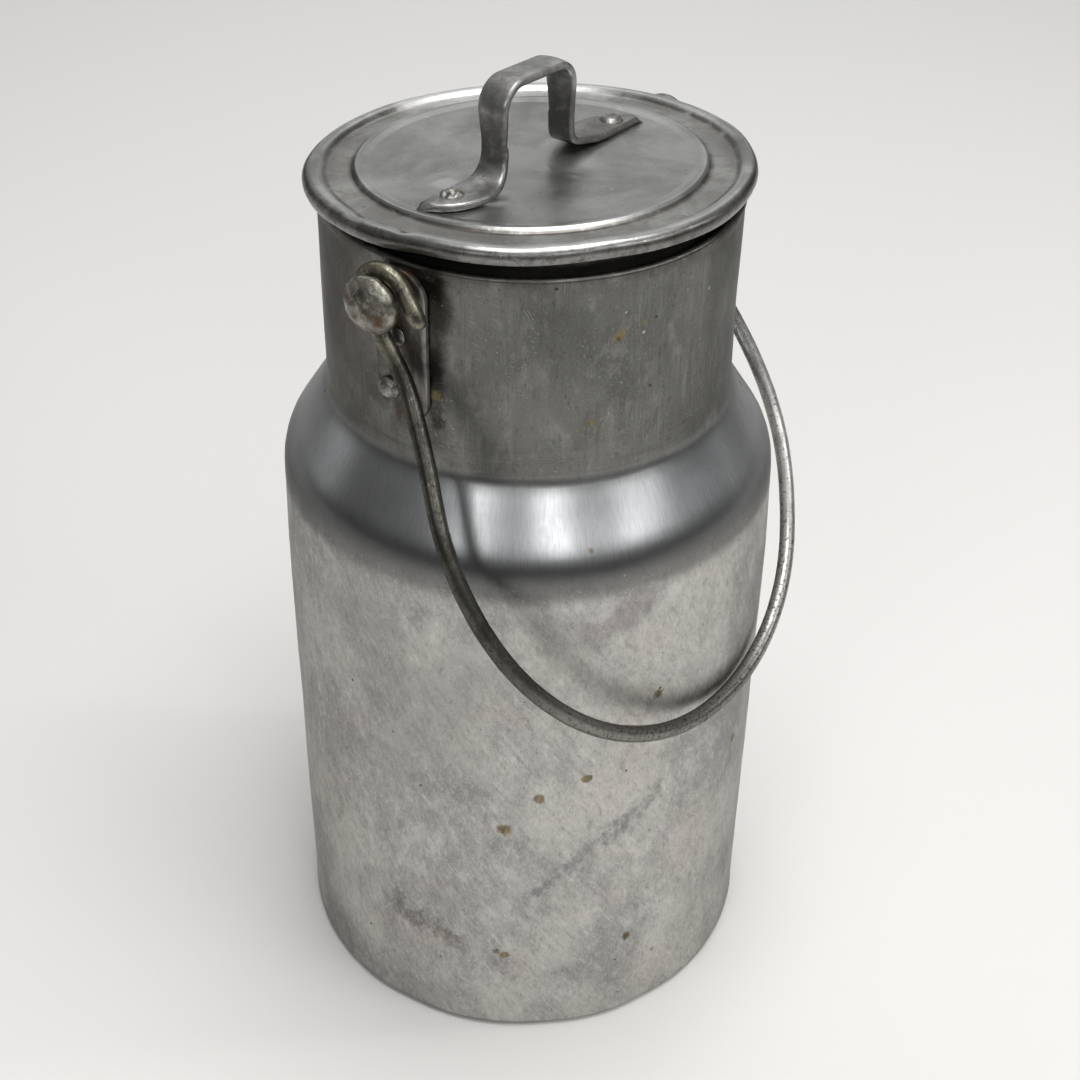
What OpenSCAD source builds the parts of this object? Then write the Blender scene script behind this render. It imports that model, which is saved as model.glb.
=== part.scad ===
// Two-litre aluminium milk can: a spun body with a narrow neck, a lift-off lid with a
// riveted strap handle, and a steel wire bail that swings on two domed studs.
// Origin: centre of the underside. X: the bail's hinge axis. +Z: up. The bail hangs over -Y.

/* [Body] */
// Outer diameter of the can body
body_d = 124; // [100:1:160]
// Height from the underside to the top of the lip
body_h = 224.4; // [200:0.2:260]
// Thickness of the spun sheet
wall = 1.2; // [0.8:0.1:2]
// Radius of the corner between wall and base
base_corner_r = 2.6; // [2.2:0.1:5]
// Height at which the wall starts to draw in
draw_in_z = 128; // [100:1:140]
// How far the wall has drawn in where the shoulder starts
draw_in = 0.8; // [0.2:0.1:2]
// Height at which the shoulder starts
shoulder_z = 150.6; // [145:0.2:154]
// Radius of the bend at the foot of the shoulder
shoulder_bend_r = 16; // [8:0.5:20]
// Angle of the shoulder cone from the vertical
shoulder_angle = 33; // [28:1:40]

/* [Neck] */
// Outer diameter of the neck
neck_d = 98.8; // [90:0.2:102]
// Radius of the hollow corner between shoulder and neck
neck_corner_r = 6; // [2:0.5:8]
// Radius of the rolled bead round the lip
lip_bead_r = 1.0; // [0.8:0.1:1.2]

/* [Ears] */
// Height of the hinge axis
hinge_z = 217.5; // [214:0.5:218]
// Width of each ear plate
ear_plate_w = 13.8; // [13:0.2:16]
// Sideways shift of each plate from the stud's line
ear_plate_y = -0.7; // [-1:0.1:0]
// Height of the lower end of each ear plate
ear_plate_z0 = 184.5; // [178:0.5:188]
// Height of the upper end of each ear plate
ear_plate_z1 = 223; // [222:0.2:223]
// Thickness of each ear plate
ear_plate_t = 1.5; // [1:0.1:2]
// Diameter of the stud's domed head
stud_head_d = 13.6; // [12:0.2:14]
// Height of the domed rivet near the foot of each plate
ear_rivet_z = 192.8; // [190:0.2:196]
// Height of the low rivet under the bail's leg
ear_low_rivet_z = 206.6; // [205:0.2:208]

/* [Bail] */
// Diameter of the bail wire
bail_wire_d = 4; // [3:0.5:4]
// Distance from the can's axis to the plane of each wire eye
bail_eye_x = 54.2; // [54.1:0.1:54.6]
// Radius of each wire eye, to the middle of the wire
bail_eye_r = 6; // [5.8:0.1:6.5]
// Length of the straight end beyond each hooked eye
bail_tail = 8.5; // [4:0.5:9]
// Depth at which the legs spread outwards
bail_spread_u = 20; // [16:1:24]
// Radius of the bend where the legs spread
bail_spread_r = 25; // [10:1:30]
// Radius of the big bow
bail_bow_r = 63.7; // [63:0.1:66]
// Sideways shift of the bow, as the wire is a little bent
bail_bow_x = -3; // [-4:0.1:4]
// Depth of the bow's centre below the hinge axis
bail_bow_u = 67.4; // [67.4:0.2:70]
// Angle at which the bail rests against the can, from the vertical
bail_hang = 32; // [31.9:0.1:45]

/* [Lid] */
// Height of the lower edge of the lid's rim, at the can's axis
lid_z = 225.4; // [225.2:0.1:228]
// Tilt of the loosely set lid
lid_tilt = 3.6; // [0:0.1:3.7]
// Direction in which the tilted lid stands highest
lid_high_side = 239; // [0:0.5:360]
// Turn of the lid's strap handle away from the hinge axis
lid_turn = -4.7; // [-180:0.1:180]
// Outer diameter of the lid's rim
lid_d = 102.8; // [102.6:0.1:103]
// Height of the rim's rounded ridge above its lower edge
lid_ridge_h = 3.8; // [3.6:0.1:5]
// Diameter of the raised disc in the middle
lid_disc_d = 79.5; // [70:0.5:84]
// Height of the flat disc above the rim's lower edge
lid_disc_h = 3.3; // [3:0.1:5]
// Height of the raised edge round the disc, above the disc
lid_disc_edge_h = 0.5; // [0.3:0.1:1]
// Thickness of the lid's sheet
lid_t = 0.9; // [0.7:0.1:1]
// Outer diameter of the plug ring below the lid
plug_d = 90.6; // [88:0.2:91]
// Depth of the plug ring
plug_h = 13; // [8:0.5:16]

/* [Lid handle] */
// Width of the strap
strap_w = 6.8; // [6:0.2:8]
// Thickness of the strap
strap_t = 1.9; // [1.5:0.1:2.2]
// Distance from the middle of the rivets to the left leg
left_leg_s = 14.1; // [12:0.1:16]
// Distance from the middle of the rivets to the right leg
right_leg_s = 9.8; // [9:0.1:14]
// Height of the strap's top above the lid
strap_h = 23; // [20:0.2:30]
// Distance from the middle of the rivets to each rivet
lid_rivet_s = 28.2; // [26:0.1:29]
// Width of each leaf-shaped foot
foot_w = 12; // [10:0.5:13]
// Distance from the middle of the rivets to the left tip
left_tip_s = 35.6; // [34:0.1:36]
// Distance from the middle of the rivets to the right tip
right_tip_s = 36; // [34:0.5:38]
// Shift of the handle from the lid's centre, along the hinge axis
handle_x = -3.0; // [-3.2:0.1:3]
// Shift of the handle from the lid's centre, across the hinge axis
handle_y = -3.1; // [-3.2:0.1:3]

/* [Hidden] */
$fn = 96;
arc_steps = 12;

aluminium = [0.66, 0.66, 0.65];
dull_aluminium = [0.52, 0.52, 0.51];
steel = [0.45, 0.42, 0.38];

body_r = body_d / 2;
neck_r = neck_d / 2;
neck_in_r = neck_r - wall;

// Gap between two sheets that are riveted together
seat = 0.05;
plate_in_r = neck_r + seat;
plate_out_r = plate_in_r + ear_plate_t;

// Radii of the stud: its shank through the neck, and the collar that the wire eye turns on
stud_shank_r = 3;
stud_collar_r = bail_eye_r - bail_wire_d / 2 - 0.3;
stud_head_edge = 1.2;
stud_head_rise = 3.4;
stud_head_x = bail_eye_x + bail_wire_d / 2 + 1.6;
stud_back_r = 4.6;
stud_back_t = 1.1;

ear_rivet_shank_r = 1.6;
ear_rivet_head_r = 2.75;
ear_rivet_head_h = 1.9;
ear_rivet_y = 2;
ear_low_rivet_head_r = 2.2;
ear_low_rivet_head_h = 0.8;
ear_low_rivet_y = -0.6;
lid_rivet_shank_r = 1.5;
lid_rivet_head_r = 2.9;
lid_rivet_head_h = 1.7;
lid_rivet_back_r = 2.6;
lid_rivet_back_t = 0.8;

// Points along an arc, from angle a0 to angle a1
function arc(c, r, a0, a1) =
    [for (i = [0:arc_steps]) let (a = a0 + (a1 - a0) * i / arc_steps) c + r * [cos(a), sin(a)]];

function reversed(list) = [for (i = [len(list) - 1:-1:0]) list[i]];

// ---------- can body ----------

shoulder_c = [body_r - draw_in - shoulder_bend_r, shoulder_z];
shoulder_foot = shoulder_c + shoulder_bend_r * [cos(shoulder_angle), sin(shoulder_angle)];
neck_corner_x = neck_r + neck_corner_r;
neck_corner_z = shoulder_foot[1]
    + (neck_corner_r - (neck_corner_x - shoulder_foot[0]) * cos(shoulder_angle)) / sin(shoulder_angle);
neck_corner_c = [neck_corner_x, neck_corner_z];
lip_z = body_h - lip_bead_r;

// Outline of the can's shell, moved inwards by depth
function shell_outline(depth) = concat(
    [[0, depth]],
    arc([body_r - base_corner_r, base_corner_r], base_corner_r - depth, -90, 0),
    [[body_r - depth, draw_in_z]],
    arc(shoulder_c, shoulder_bend_r - depth, 0, shoulder_angle),
    arc(neck_corner_c, neck_corner_r + depth, 180 + shoulder_angle, 180),
    [[neck_r - depth, lip_z]]);

module can_shell() {
    rotate_extrude() polygon(concat(shell_outline(0), reversed(shell_outline(wall))));
}

module lip_bead() {
    translate([0, 0, lip_z]) rotate_extrude()
        translate([neck_r - wall / 2, 0]) circle(r = lip_bead_r, $fn = 32);
}

// Bar of radius r along X on the left or the right side, from x0 to x1 outwards
module side_bar(side, r, x0, x1, z, y = 0) {
    translate([side * x0, -side * y, z]) rotate([0, side * 90, 0]) cylinder(r = r, h = x1 - x0);
}

module ear_holes(reach) {
    x0 = neck_in_r - reach;
    x1 = plate_out_r + reach;
    for (side = [-1, 1]) {
        side_bar(side, stud_shank_r, x0, x1, hinge_z);
        side_bar(side, ear_rivet_shank_r, x0, x1, ear_rivet_z, ear_rivet_y);
        side_bar(side, ear_rivet_shank_r, x0, x1, ear_low_rivet_z, ear_low_rivet_y);
    }
}

module can_body() {
    color(aluminium) difference() {
        union() {
            can_shell();
            lip_bead();
        }
        ear_holes(3);
    }
}

// ---------- ears ----------

module ear_plate(side) {
    plate_r = ear_plate_w / 2;
    middle_z = (ear_plate_z0 + ear_plate_z1) / 2;
    straight = ear_plate_z1 - ear_plate_z0 - ear_plate_w;
    color(dull_aluminium) difference() {
        intersection() {
            translate([0, 0, ear_plate_z0]) difference() {
                cylinder(r = plate_out_r, h = ear_plate_z1 - ear_plate_z0);
                translate([0, 0, -1]) cylinder(r = plate_in_r, h = ear_plate_z1 - ear_plate_z0 + 2);
            }
            union() {
                side_bar(side, plate_r, neck_r / 2, body_r, ear_plate_z0 + plate_r, ear_plate_y);
                side_bar(side, plate_r, neck_r / 2, body_r, ear_plate_z1 - plate_r, ear_plate_y);
                translate([side * (neck_r / 2 + body_r) / 2, -side * ear_plate_y, middle_z])
                    cube([body_r - neck_r / 2, ear_plate_w, straight], center = true);
            }
        }
        ear_holes(3);
    }
}

// Domed head on a short round edge, standing on the plane z = 0
module domed_head(r, edge, rise) {
    ball_r = (r * r + rise * rise) / (2 * rise);
    cylinder(r = r, h = edge);
    translate([0, 0, edge]) intersection() {
        translate([0, 0, rise - ball_r]) sphere(r = ball_r);
        cylinder(r = r, h = rise + 1);
    }
}

// Flat closing head that follows the inside of the neck
module neck_back_head(side, r, t, z, y = 0) {
    intersection() {
        side_bar(side, r, neck_in_r - seat - t, neck_in_r + 1, z, y);
        translate([0, 0, z - r - 1]) cylinder(r = neck_in_r - seat, h = 2 * r + 2);
    }
}

module ear_stud(side) {
    color(steel) {
        side_bar(side, stud_shank_r, neck_in_r - stud_back_t, plate_out_r + seat, hinge_z);
        side_bar(side, stud_collar_r, plate_out_r + seat, stud_head_x, hinge_z);
        translate([side * stud_head_x, 0, hinge_z]) rotate([0, side * 90, 0])
            domed_head(stud_head_d / 2, stud_head_edge, stud_head_rise);
        neck_back_head(side, stud_back_r, stud_back_t, hinge_z);
    }
}

module small_rivet(side, head_r, head_h, z, y) {
    color(steel) {
        side_bar(side, ear_rivet_shank_r, neck_in_r - stud_back_t, plate_out_r + seat, z, y);
        translate([side * (plate_out_r + seat), -side * y, z]) rotate([0, side * 90, 0])
            domed_head(head_r, 0.2, head_h - 0.2);
        neck_back_head(side, head_r, stud_back_t, z, y);
    }
}

module ear_rivet(side) {
    small_rivet(side, ear_rivet_head_r, ear_rivet_head_h, ear_rivet_z, ear_rivet_y);
}

module ear_low_rivet(side) {
    small_rivet(side, ear_low_rivet_head_r, ear_low_rivet_head_h, ear_low_rivet_z, ear_low_rivet_y);
}

// ---------- bail ----------

// Angle of a spreading leg: its line runs from the spread point and just meets the bow
function spread_angle(side) =
    let (reach = [bail_eye_x - side * bail_bow_x, bail_bow_u - bail_spread_u])
    atan2(reach[1], reach[0]) - acos(bail_bow_r / norm(reach));

// Ball a little wider than the wire, which joins two stretches where their ends meet
joint_extra = 0.3;

// Wire bent to radius r in the XY plane, from angle a0 through the angle sweep
module bent_wire(r, a0, sweep) {
    rotate_extrude(angle = sweep, start = a0) translate([r, 0]) circle(d = bail_wire_d, $fn = 32);
}

// Straight wire of the given length, up from z = 0
module straight_wire(length) {
    cylinder(d = bail_wire_d, h = length, $fn = 32);
}

module wire_joint() {
    sphere(d = bail_wire_d + joint_extra, $fn = 32);
}

// Hooked eye in the YZ plane: half a turn over the top, then straight down in front
module bail_eye() {
    rotate([90, 0, 90]) bent_wire(bail_eye_r, 0, 180);
    translate([0, -bail_eye_r, 0]) {
        wire_joint();
        translate([0, 0, -bail_tail]) {
            straight_wire(bail_tail);
            wire_joint();
        }
    }
}

// One leg, from the eye's back down to the bow, which it meets at the given angle
module bail_leg(angle) {
    tangent = bail_spread_r * tan(angle / 2);
    straight = bail_spread_u - tangent;
    meet_u = bail_bow_u - bail_bow_r * sin(angle);
    slant = (meet_u - bail_spread_u) / cos(angle) - tangent;
    translate([0, bail_eye_r, 0]) {
        wire_joint();
        translate([0, 0, -straight]) {
            straight_wire(straight);
            wire_joint();
        }
        translate([bail_spread_r, 0, -straight]) rotate([90, 0, 0]) bent_wire(bail_spread_r, 180, angle);
        translate([0, 0, -bail_spread_u]) rotate([0, -angle, 0]) translate([0, 0, -tangent]) {
            wire_joint();
            translate([0, 0, -slant]) {
                straight_wire(slant);
                wire_joint();
            }
        }
    }
}

module bail() {
    left = spread_angle(-1);
    right = spread_angle(1);
    color(steel) translate([0, 0, hinge_z]) rotate([-bail_hang, 0, 0]) {
        mirror([1, 0, 0]) translate([bail_eye_x, 0, 0]) {
            bail_eye();
            bail_leg(left);
        }
        translate([bail_eye_x, 0, 0]) {
            bail_eye();
            bail_leg(right);
        }
        translate([bail_bow_x, bail_eye_r, -bail_bow_u]) rotate([90, 0, 0])
            bent_wire(bail_bow_r, 180 - left, 180 + left + right);
    }
}

// ---------- lid ----------

// Places a piece on the tilted lid; z = 0 is the lower edge of the rim
module on_lid() {
    translate([0, 0, lid_z])
        rotate(a = lid_tilt, v = [sin(lid_high_side), -cos(lid_high_side), 0]) children();
}

// Moves a piece from the lid's centre to the middle of the handle's rivets, along the strap
module at_handle() {
    translate([handle_x, handle_y, 0]) rotate([0, 0, lid_turn]) children();
}

lid_r = lid_d / 2;
rim_round_r = 1.5;
ridge_c = [lid_r - rim_round_r, lid_ridge_h - rim_round_r];
valley_h = lid_ridge_h - 0.9;
valley_out_x = 47.0;
valley_in_x = lid_disc_d / 2 + 2.6;
disc_edge_x = lid_disc_d / 2 - 0.3;
disc_edge_top = lid_disc_h + lid_disc_edge_h;
disc_flat_x = disc_edge_x - 0.9;

// Upper outline of the pressed lid from the rim inwards
lid_top = concat(
    [[lid_r, 0]],
    arc(ridge_c, rim_round_r, 0, 90),
    [[valley_out_x, valley_h], [valley_in_x, valley_h], [disc_edge_x + 0.6, disc_edge_top - 0.3],
     [disc_edge_x, disc_edge_top], [disc_flat_x, lid_disc_h], [0, lid_disc_h]]);

// Lower outline, one sheet thickness inside the upper one
lid_under = concat(
    [[0, lid_disc_h - lid_t], [disc_flat_x, lid_disc_h - lid_t], [disc_edge_x, disc_edge_top - lid_t - 0.1],
     [valley_in_x - 0.4, valley_h - lid_t], [valley_out_x + 0.2, valley_h - lid_t]],
    reversed(arc(ridge_c, rim_round_r - lid_t, 0, 90)),
    [[lid_r - lid_t, 0]]);

module lid_rivet_holes() {
    at_handle() for (side = [-1, 1]) translate([side * lid_rivet_s, 0, 0])
        cylinder(r = lid_rivet_shank_r, h = 12);
}

module lid_cover() {
    color(aluminium) on_lid() difference() {
        rotate_extrude() polygon(concat(lid_top, lid_under));
        lid_rivet_holes();
    }
}

// Ring with an inward flange that is spot-joined under the lid's valley
module lid_plug_ring() {
    plug_r = plug_d / 2;
    top = valley_h - lid_t - seat;
    flange_in_r = valley_in_x + 0.3;
    color(dull_aluminium) on_lid() rotate_extrude() polygon([
        [plug_r, top], [plug_r, top - plug_h], [plug_r - lid_t, top - plug_h],
        [plug_r - lid_t, top - lid_t], [flange_in_r, top - lid_t], [flange_in_r, top]]);
}

// ---------- lid handle ----------

// Values for the left and the right half of the strap
leg_s = [left_leg_s, right_leg_s];
tip_s = [left_tip_s, right_tip_s];
foot_bend = [6.5, 3.2];
top_bend = [6.5, 5.5];
strap_top = strap_h - strap_t / 2;

// One half of the strap's side view, moved by shift from the middle of its thickness
function strap_half(i, shift) = concat(
    [[tip_s[i] + 1, strap_t / 2 + shift]],
    arc([leg_s[i] + foot_bend[i], strap_t / 2 + foot_bend[i]], foot_bend[i] - shift, 270, 180),
    arc([leg_s[i] - top_bend[i], strap_top - top_bend[i]], top_bend[i] + shift, 0, 90));

function flipped(list) = [for (p = list) [-p[0], p[1]]];

module strap_side_view() {
    outer = concat(flipped(strap_half(0, strap_t / 2)), reversed(strap_half(1, strap_t / 2)));
    inner = concat(flipped(strap_half(0, -strap_t / 2)), reversed(strap_half(1, -strap_t / 2)));
    polygon(concat(outer, reversed(inner)));
}

// Points along a smooth curve from p0 that bends towards p1 and ends just before p2
function curve(p0, p1, p2) = [for (i = [0:arc_steps - 1])
    let (t = i / arc_steps) (1 - t) * (1 - t) * p0 + 2 * t * (1 - t) * p1 + t * t * p2];

// Half-leaf foot of the right half: one edge bulges out to the tip, the other runs nearly straight back
function foot_edge(i) =
    let (heel = leg_s[i] - strap_t / 2, tip = [tip_s[i], -foot_w / 4], back = [heel, -strap_w / 2])
    concat(
        curve([heel, strap_w / 2], [tip_s[i] - 8, foot_w - 2], tip),
        curve(tip, [(heel + tip_s[i]) / 2, -strap_w / 2 - 1.2], back),
        [back]);

// The strap seen from above; the left foot is shaped like the right one turned half round
module strap_plan() {
    polygon(concat(foot_edge(1), [for (p = foot_edge(0)) -p]));
}

module lid_handle() {
    color(dull_aluminium) on_lid() difference() {
        translate([0, 0, lid_disc_h + seat]) at_handle() intersection() {
            rotate([90, 0, 0]) linear_extrude(3 * foot_w, center = true) strap_side_view();
            translate([0, 0, -1]) linear_extrude(strap_h + 2) strap_plan();
        }
        lid_rivet_holes();
    }
}

module lid_rivet(side) {
    head_z = lid_disc_h + 2 * seat + strap_t;
    back_z = lid_disc_h - lid_t - seat;
    color(steel) on_lid() at_handle() translate([side * lid_rivet_s, 0, 0]) {
        translate([0, 0, back_z]) cylinder(r = lid_rivet_shank_r, h = head_z - back_z);
        translate([0, 0, back_z - lid_rivet_back_t]) cylinder(r = lid_rivet_back_r, h = lid_rivet_back_t);
        translate([0, 0, head_z]) domed_head(lid_rivet_head_r, 0.3, lid_rivet_head_h - 0.3);
    }
}

can_body();
ear_plate(-1);  // ear_plate_left
ear_plate(1);  // ear_plate_right
ear_stud(-1);  // ear_stud_left
ear_stud(1);  // ear_stud_right
ear_rivet(-1);  // ear_rivet_left
ear_rivet(1);  // ear_rivet_right
ear_low_rivet(-1);  // ear_low_rivet_left
ear_low_rivet(1);  // ear_low_rivet_right
bail();
lid_cover();
lid_plug_ring();
lid_handle();
lid_rivet(-1);  // lid_rivet_left
lid_rivet(1);  // lid_rivet_right
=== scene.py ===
"""Two-litre aluminium milk can with a wire bail and a loose lid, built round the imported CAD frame."""
import math

import bmesh
import bpy
import numpy as np
from mathutils import Matrix, Vector, noise


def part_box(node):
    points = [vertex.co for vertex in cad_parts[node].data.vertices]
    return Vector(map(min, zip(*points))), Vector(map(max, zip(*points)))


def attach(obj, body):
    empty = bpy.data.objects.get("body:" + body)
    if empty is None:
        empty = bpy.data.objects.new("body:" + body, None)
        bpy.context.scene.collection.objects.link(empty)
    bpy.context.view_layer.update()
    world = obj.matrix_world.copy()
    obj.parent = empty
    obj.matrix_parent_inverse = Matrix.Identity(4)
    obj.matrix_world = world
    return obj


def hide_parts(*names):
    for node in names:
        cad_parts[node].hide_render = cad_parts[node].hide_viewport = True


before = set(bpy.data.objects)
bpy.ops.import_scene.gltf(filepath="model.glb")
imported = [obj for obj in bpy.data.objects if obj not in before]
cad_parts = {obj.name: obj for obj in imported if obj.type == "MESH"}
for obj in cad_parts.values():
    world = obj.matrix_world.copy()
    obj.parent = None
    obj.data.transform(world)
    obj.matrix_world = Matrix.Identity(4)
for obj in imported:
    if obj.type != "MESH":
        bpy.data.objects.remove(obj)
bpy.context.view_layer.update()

MM = 0.001
SMOOTHEST = 0.285  # lowest roughness; sharper reflections leave contour lines in a denoised render

# ---- sizes, in millimetres, worked out from the frame ----


def box_mm(node):
    """Lowest and highest corner of a CAD node, in millimetres."""
    low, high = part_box(node)
    return np.array(low) / MM, np.array(high) / MM


body_high = box_mm("can_body")[1]
plate_low, plate_high = box_mm("ear_plate_left")
stud_low, stud_high = box_mm("ear_stud_left")
rivet_low, rivet_high = box_mm("ear_rivet_left")
low_rivet_low, low_rivet_high = box_mm("ear_low_rivet_left")

WALL = 1.2
BODY_R = body_high[0]
LIP_TOP = body_high[2]
NECK_R = 49.4
SHOULDER_Z = 155.3
NECK_Z = 173.5
PLATE_T = 1.5
HINGE_Z = 217.5
WIRE_R = 2.0
PLAY = 0.05  # gap between two riveted sheets

# ---- outlines ----


def rounded(corners, turn_step=10.0):
    """Points of a line through corners (x, z, radius), with each corner rounded to its radius."""
    points = [np.array(corners[0][:2], float)]
    for before, corner, after in zip(corners, corners[1:], corners[2:]):
        here = np.array(corner[:2], float)
        back = np.array(before[:2], float) - here
        on = np.array(after[:2], float) - here
        back /= np.linalg.norm(back)
        on /= np.linalg.norm(on)
        opening = math.acos(np.clip(back @ on, -1, 1))
        turn = math.pi - opening
        if corner[2] <= 0 or turn < 1e-4:
            points.append(here)
            continue
        middle = (back + on) / np.linalg.norm(back + on)
        centre = here + middle * corner[2] / math.sin(opening / 2)
        reach = corner[2] / math.tan(opening / 2)
        start, end = here + back * reach - centre, here + on * reach - centre
        sign = np.sign(start[0] * end[1] - start[1] * end[0])
        steps = max(3, math.ceil(math.degrees(turn) / turn_step))
        for i in range(steps + 1):
            a = sign * turn * i / steps
            points.append(centre + [start[0] * math.cos(a) - start[1] * math.sin(a),
                                    start[0] * math.sin(a) + start[1] * math.cos(a)])
    points.append(np.array(corners[-1][:2], float))
    return points


def stepped(points, step):
    """The same line with extra points, so that none are further apart than step."""
    line = [np.array(points[0], float)]
    for point in points[1:]:
        start = line[-1]
        gap = np.linalg.norm(point - start)
        if gap > 1e-6:
            count = math.ceil(gap / step)
            line += [start + (point - start) * i / count for i in range(1, count + 1)]
    return line


# ---- meshes ----


def wobble(points, size, seed):
    """Smooth noise from about -1 to 1 at each point, with bumps about size millimetres across."""
    shift = Vector((seed * 7.1, seed * 3.7, seed * 5.3))
    return np.array([noise.noise(Vector(p) / size + shift) for p in points])


def blend_in(value, low, high):
    """0 below low, 1 above high and smooth between."""
    t = np.clip((value - low) / (high - low), 0, 1)
    return t * t * (3 - 2 * t)


def grid_faces(rows, columns):
    """Quads between neighbouring rows; each row is a closed ring."""
    i, j = np.meshgrid(np.arange(rows - 1), np.arange(columns), indexing="ij")
    k = (j + 1) % columns
    here, after = i * columns, (i + 1) * columns
    quads = np.stack([here + j, here + k, after + k, after + j], axis=-1)
    return quads.reshape(-1, 4).tolist()


def placed(name, data):
    """New object in the scene that shows the data."""
    thing = bpy.data.objects.new(name, data)
    bpy.context.collection.objects.link(thing)
    return thing


def add_piece(name, rings, material, body, nodes, sharp=38):
    """Makes an object from closed rings of points in millimetres and hands it to the frame."""
    rings = np.asarray(rings)
    rows, columns = rings.shape[:2]
    mesh = bpy.data.meshes.new(name)
    mesh.from_pydata((rings.reshape(-1, 3) * MM).tolist(), [], grid_faces(rows, columns))
    work = bmesh.new()
    work.from_mesh(mesh)
    bmesh.ops.remove_doubles(work, verts=work.verts, dist=1e-6)
    bmesh.ops.dissolve_degenerate(work, edges=work.edges, dist=1e-7)
    bmesh.ops.recalc_face_normals(work, faces=work.faces)
    work.to_mesh(mesh)
    work.free()
    mesh.shade_smooth()
    mesh.set_sharp_from_angle(angle=math.radians(sharp))
    mesh.materials.append(material)
    piece = placed(name, mesh)
    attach(piece, body)
    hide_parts(*nodes)


def turned(outline, segments):
    """Rings of an outline (radius, height) turned round the Z axis."""
    angles = np.arange(segments) * 2 * math.pi / segments
    line = np.array(outline)
    ring = np.stack([np.cos(angles), np.sin(angles)], axis=1)
    flat = line[:, None, :1] * ring[None]
    height = np.broadcast_to(line[:, None, 1:], flat.shape[:2] + (1,))
    return np.concatenate([flat, height], axis=2)


def swept(path, section, up):
    """Rings of a section (function of row index, giving points across and up) along a path."""
    path = np.array(path)
    along = np.gradient(path, axis=0)
    along /= np.linalg.norm(along, axis=1)[:, None]
    rings = []
    side = np.cross(along[0], up)
    for i, (point, direction) in enumerate(zip(path, along)):
        side = side - direction * (side @ direction)
        side /= np.linalg.norm(side)
        over = np.cross(side, direction)
        rings.append([point + side * u + over * v for u, v in section(i)])
    return np.array(rings)


# ---- node helpers ----


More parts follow.
